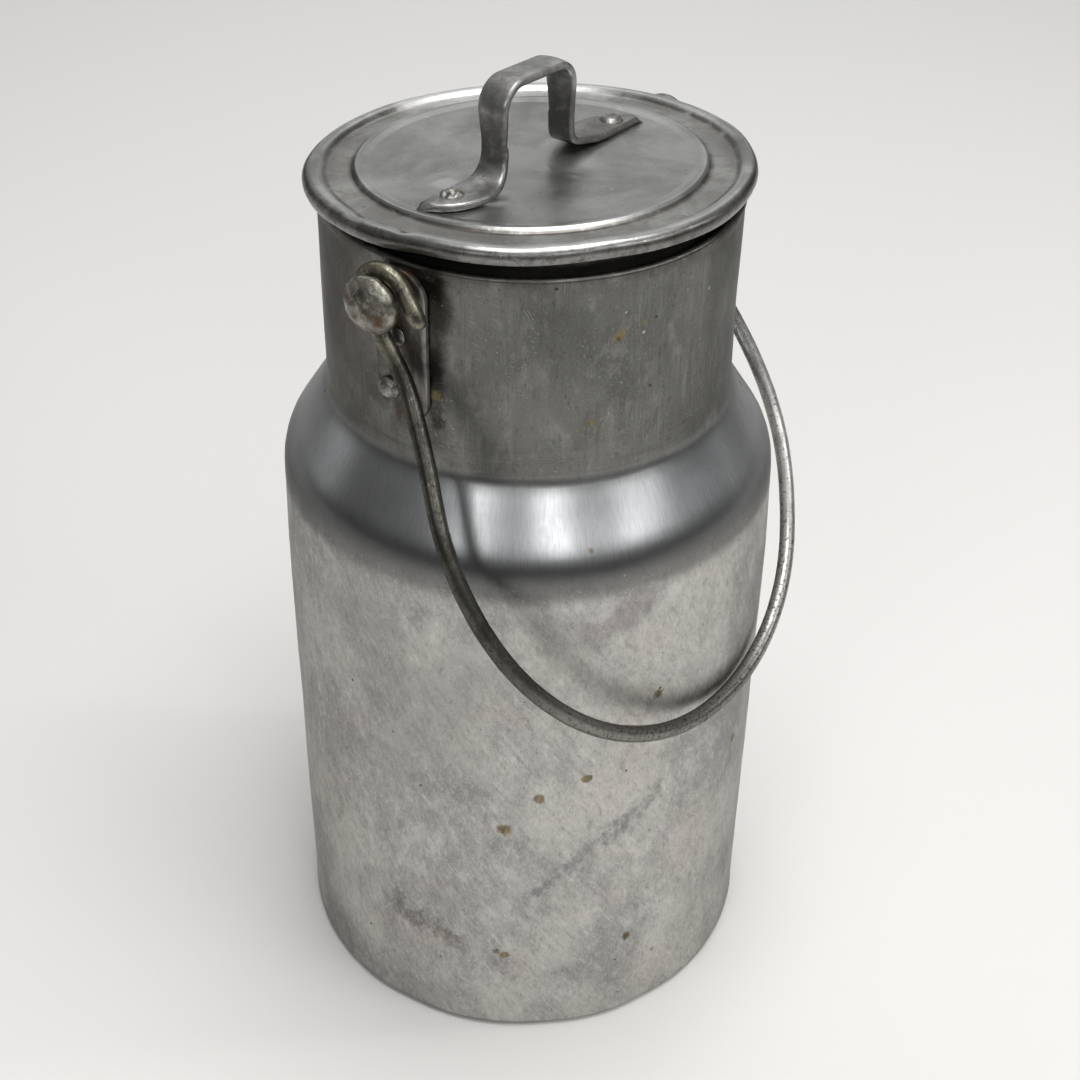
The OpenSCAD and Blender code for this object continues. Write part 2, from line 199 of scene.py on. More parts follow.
class Shader:
    """A material with one Principled shader, and short calls that add nodes to it."""

    def __init__(self, name, metallic, **settings):
        self.material = bpy.data.materials.new(name)
        self.material.use_nodes = True
        self.tree = self.material.node_tree
        self.surface = self.tree.nodes["Principled BSDF"]
        self.surface.inputs["Metallic"].default_value = metallic
        for key, value in settings.items():
            self.surface.inputs[key.replace("_", " ")].default_value = value
        self.place = self.add("ShaderNodeTexCoord").outputs["Object"]
        parts = self.add("ShaderNodeSeparateXYZ", {"Vector": self.place})
        self.x, self.y, self.z = parts.outputs[0], parts.outputs[1], parts.outputs[2]

    def add(self, kind, inputs=None, **settings):
        node = self.tree.nodes.new(kind)
        for key, value in settings.items():
            setattr(node, key, value)
        for key, value in (inputs or {}).items():
            if isinstance(value, bpy.types.NodeSocket):
                self.tree.links.new(value, node.inputs[key])
            else:
                node.inputs[key].default_value = value
        return node

    def vector(self, operation, a, b):
        node = self.add("ShaderNodeVectorMath", {0: a, 1: b}, operation=operation)
        return node.outputs["Value" if operation in ("DISTANCE", "DOT_PRODUCT") else "Vector"]

    def calc(self, operation, a, b):
        return self.add("ShaderNodeMath", {0: a, 1: b}, operation=operation).outputs[0]

    def product(self, *values):
        result = values[0]
        for value in values[1:]:
            result = self.calc("MULTIPLY", result, value)
        return result

    def reach(self):
        """Distance from the can's axis."""
        level = self.add("ShaderNodeCombineXYZ", {"X": self.x, "Y": self.y, "Z": 0.0}).outputs[0]
        return self.vector("DISTANCE", level, (0, 0, 0))

    def unrolled(self):
        """Place as (way round the can, height, distance from the axis); its seam is at the back."""
        turn = self.calc("ARCTAN2", self.calc("SUBTRACT", self.x, self.y),
                         self.calc("MULTIPLY", self.calc("ADD", self.x, self.y), -1.0))
        return self.add("ShaderNodeCombineXYZ", {"X": self.calc("MULTIPLY", turn, 0.055), "Y": self.z,
                                                 "Z": self.reach()}).outputs[0]

    def noise(self, size, stretch=(1, 1, 1), detail=4.0, rough=0.55, warp=0.0, turn=(0, 0, 0), seed=0.0,
              place=None):
        """Noise from 0 to 1 with features about size millimetres across, longer where stretch is below 1."""
        vector = self.add("ShaderNodeMapping", {"Vector": place or self.place, "Rotation": turn}).outputs[0]
        vector = self.add("ShaderNodeMapping", {"Vector": vector, "Scale": stretch,
                                                "Location": (seed, seed, seed)}).outputs[0]
        return self.add("ShaderNodeTexNoise", {"Vector": vector, "Scale": 1 / (size * MM), "Detail": detail,
                                               "Roughness": rough, "Distortion": warp}).outputs["Fac"]

    def spots(self, spacing, radius, share=0.3, seed=0.0):
        """1 inside ragged spots of mixed sizes, 0 outside; only a share of the places has a spot."""
        cloud = self.add("ShaderNodeTexNoise", {"Vector": self.place, "Scale": 0.6 / (radius * MM),
                                                "Detail": 1.0})
        shift = self.add("ShaderNodeVectorMath", {0: cloud.outputs["Color"], 1: (0.9 * radius * MM,) * 3,
                                                  2: (seed, seed, seed)}, operation="MULTIPLY_ADD").outputs[0]
        cells = self.add("ShaderNodeTexVoronoi", {"Vector": self.vector("ADD", self.place, shift),
                                                  "Scale": 1 / (spacing * MM)})
        chance = self.add("ShaderNodeSeparateColor", {0: cells.outputs["Color"]})
        size = self.span(chance.outputs[1], 0, 1, 0.35 * radius / spacing, radius / spacing)
        inside = self.span(cells.outputs["Distance"], size, self.calc("MULTIPLY", size, 0.4))
        return self.product(inside, self.span(chance.outputs[0], share, share - 0.01))

    def mark(self, start, end, size, ragged=0.9, soft=0.7):
        """1 within about size millimetres of the line between two points, with a ragged fading edge."""
        start, line = Vector(start) * MM, (Vector(end) - Vector(start)) * MM
        step = self.vector("SUBTRACT", self.place, start)
        share = self.vector("DOT_PRODUCT", step, line / max(line.length_squared, 1e-9))
        share = self.calc("MINIMUM", self.calc("MAXIMUM", share, 0.0), 1.0)
        foot = self.add("ShaderNodeVectorMath", {0: line, "Scale": share}, operation="SCALE").outputs[0]
        stray = ragged * size * MM
        fringe = self.span(self.noise(size, detail=5.0, rough=0.65), 0, 1, -stray, stray, False)
        gap = self.calc("ADD", self.vector("DISTANCE", step, foot), fringe)
        return self.span(gap, size * MM, size * (1 - soft) * MM)

    def span(self, value, low, high, to_low=0.0, to_high=1.0, smooth=True):
        """value mapped from low..high to to_low..to_high, and held there outside."""
        return self.add("ShaderNodeMapRange", {"Value": value, "From Min": low, "From Max": high,
                                               "To Min": to_low, "To Max": to_high},
                        interpolation_type="SMOOTHSTEP" if smooth else "LINEAR").outputs["Result"]

    def mix(self, amount, a, b):
        """Colour a where amount is 0 and colour b where it is 1."""
        node = self.add("ShaderNodeMix", {"Factor": amount}, data_type="RGBA")
        for socket, value in ((node.inputs[6], a), (node.inputs[7], b)):
            if isinstance(value, bpy.types.NodeSocket):
                self.tree.links.new(value, socket)
            else:
                socket.default_value = (*value, 1)
        return node.outputs[2]

    def tinted(self, colour, tints):
        """The colour under tints laid on in turn, each as (value, low, high, strength, tint)."""
        for value, low, high, strength, tint in tints:
            colour = self.mix(self.span(value, low, high, 0, strength), colour, tint)
        return colour

    def blend(self, amount, a, b):
        """Number a where amount is 0 and number b where it is 1."""
        return self.add("ShaderNodeMix", {0: amount, 2: a, 3: b}).outputs[0]

    def scratches(self, size, turn, seed, share=0.68):
        """1 on sparse thin lines that run along one direction."""
        lines = self.noise(size, (1, 1, 0.02), 1.0, 0.5, 0.0, turn, seed)
        gaps = self.noise(size * 30, (1, 1, 0.6), 2.0, 0.5, 0.0, (0, 0, 0), seed + 3)
        return self.product(self.span(lines, share, share + 0.05), self.span(gaps, 0.52, 0.6))

    def bump(self, value, depth, below=None):
        """Relief of depth millimetres, on top of the relief below."""
        inputs = {"Height": value, "Strength": 1.0, "Distance": depth * MM}
        if below:
            inputs["Normal"] = below
        return self.add("ShaderNodeBump", inputs).outputs["Normal"]

    def finish(self, colour, roughness, normal):
        for key, value in (("Base Color", colour), ("Roughness", roughness), ("Normal", normal)):
            if isinstance(value, bpy.types.NodeSocket):
                self.tree.links.new(value, self.surface.inputs[key])
            else:
                self.surface.inputs[key].default_value = value if key == "Roughness" else (*value, 1)
        return self.material


# ---- materials ----


def on_wall(angle, height, radius):
    """Point on a wall round the axis, from its angle in degrees and its height."""
    turn = math.radians(angle)
    return (radius * math.cos(turn), radius * math.sin(turn), height)


# angle in degrees, height and size of the single rust spots
WALL_RUST = (
    (-150, 76, 2.6), (-142, 87, 1.8), (-131, 92, 1.8), (-119, 30, 1.8), (-150, 29, 1.6), (-152, 30, 1.3),
    (-83, 78, 1.6), (-114, 114, 1.9))
NECK_RUST = ((-122, 209, 1.8), (-170, 193, 1.8), (-129, 188, 1.1))
# y and height of both ends, size, strength and tint of the dark marks beside, behind and under an ear plate:
# dirt with painted shadow
EAR_GRIME_AND_SHADOW = (
    (9.5, 226, 9.0, 186, 3.4, 0.9, (0.035, 0.028, 0.026)),
    (8, 224, 10, 212, 5.5, 0.85, (0.03, 0.026, 0.022)),
    (-8, 188, 8, 182, 5, 0.6, (0.07, 0.062, 0.055)))


def body_material():
    """Oxidised spun aluminium: mottled wall, polished shoulder, darker brushed neck."""
    s = Shader("body_aluminium", 1.0, Specular_Tint=(0.5, 0.5, 0.5, 1))
    unrolled = s.unrolled()
    on_shoulder = s.product(s.span(s.z, 0.1475, 0.158), s.span(s.z, 0.1775, 0.1705))
    on_neck = s.span(s.z, 0.169, 0.1765)
    patches = s.noise(30, (1, 1, 0.7), 7.0, 0.62, seed=1.0)
    clouds = s.noise(15, (1, 1, 0.8), 6.0, 0.62, 0.1, seed=8.2)
    blotches = s.noise(6, (1, 1, 0.55), 8.0, 0.7, 0.1, seed=2.3)
    mottle = s.noise(1.6, (1, 1, 0.5), 6.0, 0.74, seed=6.6)
    wiped = s.noise(1.5, (1, 1, 0.2), 5.0, 0.7, 0.1, (0.45, 0.35, 0), seed=7.4)
    strokes = s.noise(0.6, (1, 0.3, 0.3), 5.0, 0.75, 0.1, seed=7.4, place=unrolled)
    fine = s.noise(0.2, (1, 0.04, 0.04), 2.0, 0.6, seed=3.1, place=unrolled)
    streaks = s.noise(1.3, (1, 0.05, 0.05), 5.0, 0.7, 0.1, seed=4.7, place=unrolled)
    rings = s.noise(0.9, (0.02, 1, 1), 4.0, 0.7, seed=9.3, place=unrolled)
    grain = s.noise(0.45, (1, 1, 0.6), 4.0, 0.75, seed=5.9)

    wall = s.mix(s.span(patches, 0.38, 0.62), (0.34, 0.34, 0.33), (0.54, 0.53, 0.495))
    wall = s.tinted(wall, (
        (clouds, 0.50, 0.68, 0.5, (0.43, 0.385, 0.365)),
        (clouds, 0.47, 0.32, 0.5, (0.60, 0.595, 0.57)),
        (blotches, 0.48, 0.74, 0.6, (0.68, 0.67, 0.64)),
        (blotches, 0.48, 0.26, 0.6, (0.21, 0.215, 0.22)),
        (wiped, 0.50, 0.74, 0.55, (0.70, 0.69, 0.66)),
        (wiped, 0.50, 0.26, 0.5, (0.24, 0.235, 0.225)),
        (mottle, 0.50, 0.74, 0.6, (0.24, 0.235, 0.215)),
        (grain, 0.5, 0.7, 0.45, (0.70, 0.69, 0.66)),
        (strokes, 0.52, 0.76, 0.5, (0.74, 0.73, 0.70)),
        (strokes, 0.48, 0.26, 0.5, (0.20, 0.195, 0.185)),
        # painted shade: a dark band along the crease where the wall meets the shoulder
        (s.z, 0.1455, 0.1505, 0.65, (0.12, 0.12, 0.118))))
    # painted shade: a broad darker band down one flank of the wall, below the shoulder
    wall_flank_shade = s.mark(on_wall(-174, 132, 62), on_wall(-171, 98, 62), 27, 2.0, 0.97)
    wall = s.mix(s.product(wall_flank_shade, 0.4), wall, (0.25, 0.248, 0.24))

    brushed = s.span(clouds, 0.47, 0.60)
    neck = s.mix(s.span(patches, 0.35, 0.65), (0.12, 0.12, 0.112), (0.185, 0.185, 0.17))
    neck = s.mix(s.span(blotches, 0.50, 0.72, 0, 0.6), neck, (0.32, 0.315, 0.285))
    neck = s.mix(s.product(s.span(fine, 0.40, 0.75, 0, 0.45), brushed), neck, (0.25, 0.25, 0.235))
    neck = s.mix(s.product(s.span(streaks, 0.5, 0.25, 0, 0.5), brushed), neck, (0.30, 0.30, 0.28))
    neck = s.tinted(neck, (
        (streaks, 0.5, 0.8, 0.45, (0.085, 0.083, 0.076)),
        (grain, 0.5, 0.7, 0.35, (0.26, 0.258, 0.24)),
        (mottle, 0.54, 0.70, 0.6, (0.075, 0.07, 0.062)),
        (strokes, 0.54, 0.76, 0.45, (0.32, 0.315, 0.295))))
    turned_lines = s.product(s.span(rings, 0.45, 0.7, 0, 0.5), s.span(s.z, 0.188, 0.176))
    neck = s.mix(turned_lines, neck, (0.08, 0.08, 0.078))
    for side in (-1, 1):
        for y, z, end_y, end_z, size, strength, tint in EAR_GRIME_AND_SHADOW:
            # dirt with painted shadow of the plate, stud and lid on the neck
            grime_and_shade = s.mark((side * 49, side * y, z), (side * 49, side * end_y, end_z), size, 0.8, 0.9)
            neck = s.mix(s.product(grime_and_shade, strength), neck, tint)
    # painted shade on one flank of the neck
    neck_flank_shade = s.mark(on_wall(158, 218, NECK_R), on_wall(164, 182, NECK_R), 22, 1.5, 0.97)
    neck = s.mix(s.product(neck_flank_shade, 0.5), neck, (0.06, 0.058, 0.053))
    # darker patchy band just under the lip, beneath the lid's rim: dirt with painted shade
    top_grime_and_shade = s.product(s.span(s.z, 0.2185, 0.2235), s.span(blotches, 0.36, 0.6))
    neck = s.mix(s.product(top_grime_and_shade, 0.6), neck, (0.07, 0.06, 0.05))

    shoulder = s.mix(s.span(patches, 0.3, 0.7), (0.46, 0.47, 0.48), (0.58, 0.59, 0.60))
    shoulder = s.tinted(shoulder, (
        (fine, 0.42, 0.7, 0.45, (0.34, 0.345, 0.35)),
        (strokes, 0.5, 0.75, 0.35, (0.34, 0.345, 0.35)),
        # painted dark reflection: darker towards the bend at the shoulder's foot
        (s.z, 0.163, 0.1535, 0.9, (0.10, 0.10, 0.10))))
    colour = s.mix(on_neck, s.mix(on_shoulder, wall, shoulder), neck)

    smudge = s.mark(on_wall(-113, 80, 62), on_wall(-127, 70, 62), 4.5, 2.0, 0.95)
    smudge = s.calc("MAXIMUM", smudge, s.mark(on_wall(-127, 70, 62), on_wall(-143, 53, 62), 2.8, 2.0, 0.95))
    colour = s.mix(s.product(smudge, s.span(mottle, 0.35, 0.6, 0.15, 0.7)), colour, (0.20, 0.205, 0.215))
    shade = s.mark(on_wall(-120, 143, 61), on_wall(-130, 136, 61), 8, 1.4, 0.9)
    colour = s.mix(s.product(shade, 0.45), colour, (0.20, 0.175, 0.19))
    smear = s.mark(on_wall(-178, 38, 62), on_wall(-163, 32, 62), 5, 2.0, 0.95)
    colour = s.mix(s.product(smear, s.span(mottle, 0.35, 0.6, 0.2, 0.75)), colour, (0.18, 0.15, 0.135))

    pits = s.calc("MAXIMUM", s.spots(6.0, 0.6, 0.45, 1.7), s.spots(2.4, 0.26, 0.4, 2.6))
    dull = s.span(on_shoulder, 0, 1, 1, 0.12)
    pits = s.product(pits, s.span(clouds, 0.42, 0.52, 0.25, 1.0), dull)
    colour = s.mix(s.product(pits, 0.85), colour, (0.07, 0.06, 0.05))
    flecks = s.calc("MAXIMUM", s.spots(4.6, 0.5, 0.3, 4.4), s.spots(2.0, 0.24, 0.3, 5.2))
    flecks = s.product(flecks, dull)
    colour = s.mix(s.product(flecks, 0.45), colour, (0.80, 0.79, 0.77))
    rust = s.spots(14, 1.5, 0.5, 6.1)
    for radius, places in ((61.8, WALL_RUST), (NECK_R, NECK_RUST)):
        for angle, height, size in places:
            here = on_wall(angle, height, radius)
            rust = s.calc("MAXIMUM", rust, s.mark(here, here, size, 0.8, 0.5))
    ochre = s.mix(s.span(mottle, 0.42, 0.62), (0.38, 0.31, 0.165), (0.14, 0.10, 0.06))
    colour = s.mix(s.product(rust, 0.8), colour, ochre)
    nicks = s.calc("ADD", s.scratches(0.30, (0.5, 0.2, 0), 1.0), s.scratches(0.30, (-0.7, 0.3, 0.4), 2.0))
    nicks = s.calc("ADD", nicks, s.scratches(0.26, (1.2, 0.4, 0.1), 6.0, 0.66))
    colour = s.mix(s.product(nicks, dull, s.span(on_neck, 0, 1, 0.3, 0.16)), colour, (0.85, 0.85, 0.85))

    rough = s.blend(on_shoulder, s.span(patches, 0.3, 0.7, 0.38, 0.46),
                    s.span(strokes, 0.3, 0.7, SMOOTHEST, 0.34))
    rough = s.blend(on_neck, rough, s.span(blotches, 0.3, 0.7, 0.32, 0.42))
    rough = s.blend(s.calc("MAXIMUM", pits, rust), rough, 0.75)
    normal = s.bump(s.product(fine, dull), 0.004)
    normal = s.bump(s.product(grain, dull), 0.010, normal)
    normal = s.bump(s.product(pits, on_neck), -0.05, normal)
    return s.finish(colour, rough, normal)


def lid_material(name, film):
    """Satin pressed sheet with dirt in the valley, painted shade in its corners, on its flanks and round the
    handle's feet, and a painted highlight at the back; film is how much dark cover lies on it, dirt with
    painted shade.
    """
    s = Shader(name, 0.92)
    patches = s.noise(22, (1, 1, 1), 6.0, 0.6, 0.6, seed=1.4)
    blotches = s.noise(6, (1, 1, 1), 6.0, 0.64, 0.4, seed=2.6)
    mottle = s.noise(1.6, (1, 1, 1), 5.0, 0.68, 0.2, seed=6.2)
    fine = s.noise(0.5, (0.05, 1, 1), 3.0, 0.6, seed=3.8)
    reach = s.reach()
    colour = s.mix(s.span(patches, 0.32, 0.68), (0.33, 0.33, 0.32), (0.49, 0.49, 0.475))
    colour = s.tinted(colour, (
        (blotches, 0.5, 0.75, 0.45, (0.58, 0.575, 0.56)),
        (mottle, 0.55, 0.75, 0.4, (0.20, 0.195, 0.18))))
    valley = s.product(s.span(reach, 0.0398, 0.0415), s.span(reach, 0.0478, 0.0462))
    inner_corner = s.product(s.span(reach, 0.0399, 0.0404), s.span(reach, 0.0419, 0.0409))
    outer_corner = s.product(s.span(reach, 0.0462, 0.0468), s.span(reach, 0.0480, 0.0472))
    dirt = s.product(valley, s.span(blotches, 0.44, 0.62, 0.15, 0.9))
    colour = s.mix(s.product(valley, 0.3), colour, (0.19, 0.185, 0.17))
    colour = s.mix(s.product(dirt, 0.55), colour, (0.12, 0.105, 0.08))
    # painted shade: patchy dark lines in the valley's two corners
    corners = s.product(s.calc("MAXIMUM", inner_corner, outer_corner),
                        s.span(blotches, 0.32, 0.55, 0.35, 0.85))
    colour = s.mix(corners, colour, (0.085, 0.078, 0.065))
    colour = s.mix(s.span(reach, 0.0400, 0.0385, 0, 0.25), colour, (0.20, 0.20, 0.195))
    skirt = s.span(reach, 0.0497, 0.0508)
    colour = s.mix(s.product(skirt, s.span(blotches, 0.35, 0.65, 0.5, 0.9)), colour, (0.11, 0.105, 0.095))
    colour = s.mix(s.product(skirt, s.span(mottle, 0.5, 0.66, 0, 0.6)), colour, (0.06, 0.055, 0.048))
    rim = s.span(reach, 0.0425, 0.046)
    # painted shade: the rim darker on its two flanks
    rim_flank_shade = s.calc("MAXIMUM", s.mark((-22, 47, 226), (-38, 35, 227), 15, 1.5, 0.95),
                   s.mark((22, -47, 229), (36, -36, 228), 15, 1.5, 0.95))
    colour = s.mix(s.product(rim, rim_flank_shade, 0.5), colour, (0.13, 0.125, 0.115))
    # painted highlight: the lid's back, from the disc's edge outwards, made light in patches
    back = s.mark((50, 12, 225), (18, 47, 225), 15, 1.5, 0.95)
    bright = s.product(s.span(reach, 0.0395, 0.042), back, s.span(blotches, 0.3, 0.6, 0.95, 0.6))
    colour = s.mix(bright, colour, (0.76, 0.757, 0.745))
    nick = s.mark((-48.1, -1.6, 229), (-47.6, -3.4, 229), 1.8)
    # painted contact shade where the handle's feet sit on the lid; the nick is darkened too
    feet = s.calc("MAXIMUM", s.mark((-26, 2, 230), (-36, 1, 230), 2.6),
                  s.mark((18, -8, 230), (8, -6, 230), 2.4))
    grime_and_shade = s.calc("MAXIMUM", s.product(nick, 0.9), s.product(feet, 0.5))
    colour = s.mix(grime_and_shade, colour, (0.07, 0.06, 0.05))
    pits = s.calc("MAXIMUM", s.spots(6, 0.6, 0.3, 3.3), s.spots(2.4, 0.26, 0.3, 5.6))
    colour = s.mix(s.product(pits, 0.8), colour, (0.06, 0.05, 0.04))
    flecks = s.spots(3.6, 0.35, 0.25, 7.7)
    colour = s.mix(s.product(flecks, 0.5), colour, (0.78, 0.775, 0.76))
    nicks = s.calc("ADD", s.scratches(0.35, (1.3, 0.5, 0.2), 4.0), s.scratches(0.35, (1.5, -0.4, 0.9), 5.0))
    colour = s.mix(s.product(nicks, 0.45), colour, (0.8, 0.8, 0.8))
    # dark cover over the whole sheet: dirt with painted shade
    if film:
        colour = s.mix(s.span(blotches, 0.3, 0.6, film * 0.8, film), colour, (0.045, 0.042, 0.036))
    rough = s.blend(s.calc("MAXIMUM", s.product(dirt, 0.6), pits),
                    s.span(patches, 0.3, 0.7, SMOOTHEST, 0.38), 0.6)
    normal = s.bump(fine, 0.008)
    normal = s.bump(s.noise(5, detail=2.0, seed=2.6), 0.10, normal)
    normal = s.bump(s.calc("MAXIMUM", pits, nick), -0.05, normal)
    return s.finish(colour, rough, normal)


def plate_material():
    """Dull grimy sheet of the ear plates, with a painted highlight along its edges."""
    s = Shader("ear_aluminium", 0.85)
    patches = s.noise(6, (1, 1, 0.6), 6.0, 0.66, 0.5, seed=1.1)
    fine = s.noise(0.5, (1, 1, 0.1), 3.0, 0.6, seed=2.2)
    colour = s.mix(s.span(patches, 0.35, 0.65), (0.055, 0.051, 0.045), (0.15, 0.146, 0.133))
    colour = s.mix(s.span(fine, 0.5, 0.8, 0, 0.3), colour, (0.30, 0.295, 0.275))
    # painted highlight along both long edges of the plate
    edge = s.span(s.calc("ABSOLUTE", s.y, 0.0), 0.0064, 0.0071)
    colour = s.mix(s.product(edge, s.span(patches, 0.3, 0.55, 0.1, 0.6)), colour, (0.34, 0.33, 0.31))
    stain = s.noise(4, (1, 1, 1), 5.0, 0.6, 0.6, seed=5.5)
    colour = s.mix(s.span(stain, 0.52, 0.66, 0, 0.7), colour, (0.13, 0.075, 0.04))
    normal = s.bump(patches, 0.14)
    normal = s.bump(fine, 0.02, normal)
    return s.finish(colour, s.span(patches, 0.35, 0.65, 0.58, 0.36), normal)


def steel_material(name, dark, bright, rust, rust_from, size=5.0):
    """Worn steel: dark skin, bright rubbed places and rust."""
    s = Shader(name, 0.92)
    patches = s.noise(size, (1, 1, 1), 6.0, 0.62, 0.4, seed=1.9)
    pitting = s.noise(size / 7, (1, 1, 1), 4.0, 0.65, 0.2, seed=2.9)
    stain = s.noise(size * 1.4, (1, 1, 1), 5.0, 0.62, 0.6, seed=4.1)
    colour = s.mix(s.span(patches, 0.35, 0.65), dark, bright)
    colour = s.mix(s.span(pitting, 0.54, 0.68, 0, 0.65), colour, tuple(c * 0.4 for c in dark))
    colour = s.mix(s.span(pitting, 0.44, 0.32, 0, 0.4), colour, tuple(c * 1.25 for c in bright))
    rusty = s.span(stain, rust_from, rust_from + 0.14, 0, 0.85)
    colour = s.mix(rusty, colour, rust)
    rough = s.blend(rusty, s.span(patches, 0.35, 0.65, 0.40, SMOOTHEST), 0.65)
    normal = s.bump(patches, 0.16)
    normal = s.bump(pitting, 0.07, normal)
    return s.finish(colour, rough, normal)


def wire_material():
    """Dark oily wire, lighter on one side of its bow from rubbing and a painted highlight, and rusty at the
    bottom and the hooks.
    """
    s = Shader("wire_steel", 0.92, Specular_Tint=(0.5, 0.5, 0.5, 1))
    patches = s.noise(7, (1, 1, 1), 5.0, 0.6, 0.3, seed=1.9)
    pitting = s.noise(0.8, (1, 1, 1), 4.0, 0.65, 0.2, seed=2.9)
    colour = s.mix(s.span(patches, 0.35, 0.65), (0.060, 0.058, 0.050), (0.115, 0.112, 0.098))
    # rubbed places with a painted highlight on one side of the bow
    worn_and_sheen = s.product(s.span(s.x, -0.005, 0.025), s.span(s.z, 0.185, 0.155))
    colour = s.mix(s.product(worn_and_sheen, s.span(patches, 0.3, 0.6, 0.55, 0.95)), colour, (0.68, 0.67, 0.65))
    bottom = s.product(s.span(s.z, 0.128, 0.116), s.span(pitting, 0.46, 0.62, 0.0, 0.9))
    colour = s.mix(s.product(s.span(s.z, 0.145, 0.120), 0.6), colour, (0.33, 0.325, 0.30))
    colour = s.mix(s.product(bottom, 0.6), colour, (0.09, 0.06, 0.045))
    hooks = s.product(s.span(s.z, 0.196, 0.214), s.span(patches, 0.36, 0.6))
    colour = s.mix(s.product(hooks, 0.8), colour, (0.36, 0.33, 0.24))
    colour = s.tinted(colour, (
        (pitting, 0.56, 0.66, 0.8, (0.035, 0.03, 0.025)),
        (pitting, 0.42, 0.3, 0.25, (0.36, 0.35, 0.33))))
    normal = s.bump(patches, 0.08)
    normal = s.bump(pitting, 0.025, normal)
    return s.finish(colour, s.span(pitting, 0.4, 0.65, 0.29, 0.48), normal)


def strap_material():
    """Hand-worn aluminium strap, bright on its top and darker on its legs and feet."""
    s = Shader("handle_aluminium", 0.9)
    patches = s.noise(6, (1, 1, 1), 6.0, 0.62, 0.4, seed=1.6)
    fine = s.noise(0.6, (1, 0.2, 0.3), 3.0, 0.6, seed=2.4)
    mottle = s.noise(1.2, (1, 1, 1), 5.0, 0.68, 0.2, seed=3.9)
    colour = s.mix(s.span(patches, 0.35, 0.68), (0.17, 0.168, 0.158), (0.40, 0.395, 0.38))
    legs = s.product(s.span(s.z, 0.247, 0.242), s.span(s.z, 0.2315, 0.236),
                     s.span(patches, 0.3, 0.55, 0.2, 0.6))
    colour = s.mix(legs, colour, (0.12, 0.117, 0.107))
    foot = s.product(s.span(s.x, 0.0, 0.006), s.span(s.z, 0.236, 0.233))
    colour = s.mix(s.product(foot, 0.55), colour, (0.13, 0.125, 0.115))
    colour = s.tinted(colour, (
        (s.z, 0.246, 0.250, 0.2, (0.38, 0.375, 0.36)),
        (fine, 0.5, 0.8, 0.35, (0.58, 0.57, 0.56)),
        (mottle, 0.54, 0.7, 0.5, (0.11, 0.105, 0.095))))
    pits = s.calc("MAXIMUM", s.spots(3.4, 0.4, 0.4, 2.2), s.spots(1.6, 0.2, 0.3, 3.2))
    colour = s.mix(s.product(pits, 0.8), colour, (0.05, 0.045, 0.04))
    normal = s.bump(patches, 0.15)
    normal = s.bump(fine, 0.02, normal)
    normal = s.bump(pits, -0.05, normal)
    return s.finish(colour, s.span(patches, 0.3, 0.7, 0.45, 0.29), normal)


aluminium = body_material()
lid_sheet = lid_material("lid_aluminium", 0.0)
# the plug under the lid is darkened all over: dirt with painted shade of the gap
plug_sheet = lid_material("plug_aluminium", 0.85)
ear_sheet = plate_material()
strap_sheet = strap_material()
wire_steel = wire_material()
stud_steel = steel_material("stud_steel", (0.10, 0.095, 0.078), (0.33, 0.32, 0.275), (0.13, 0.07, 0.035),
                            0.52, 4.0)
rivet_metal = steel_material("rivet_aluminium", (0.14, 0.135, 0.12), (0.34, 0.335, 0.315),
                             (0.12, 0.085, 0.05), 0.6, 2.5)

# ---- can body ----


def dent(rings, angle, z, width, tall, depth):
    """Pushes a shallow dent into turned rings, towards the axis."""
    here = np.degrees(np.arctan2(rings[..., 1], rings[..., 0]))
    across = (here - angle + 180) % 360 - 180
    reach = np.hypot(rings[..., 0], rings[..., 1])
    across = np.radians(across) * reach / width
    up = (rings[..., 2] - z) / tall
    push = depth * np.exp(-across ** 2 - up ** 2) * (reach > 20)
    scale = 1 - push / np.maximum(reach, 1)
    rings[..., 0] *= scale
    rings[..., 1] *= scale


# angle in degrees, height, width, tallness and depth
BODY_DENTS = (
    (-160, 42, 16, 12, 0.55), (-118, 96, 22, 30, 0.35), (-95, 22, 14, 9, 0.4), (-175, 112, 14, 22, 0.3),
    (60, 60, 20, 18, 0.5), (10, 100, 26, 16, 0.4), (-140, 3, 9, 6, 0.5), (-112, 2, 7, 5, 0.4),
    (-175, 2, 8, 5, 0.4), (-128, 165, 9, 6, 0.35), (-98, 168, 8, 5, 0.3), (-70, 196, 14, 12, 0.3))


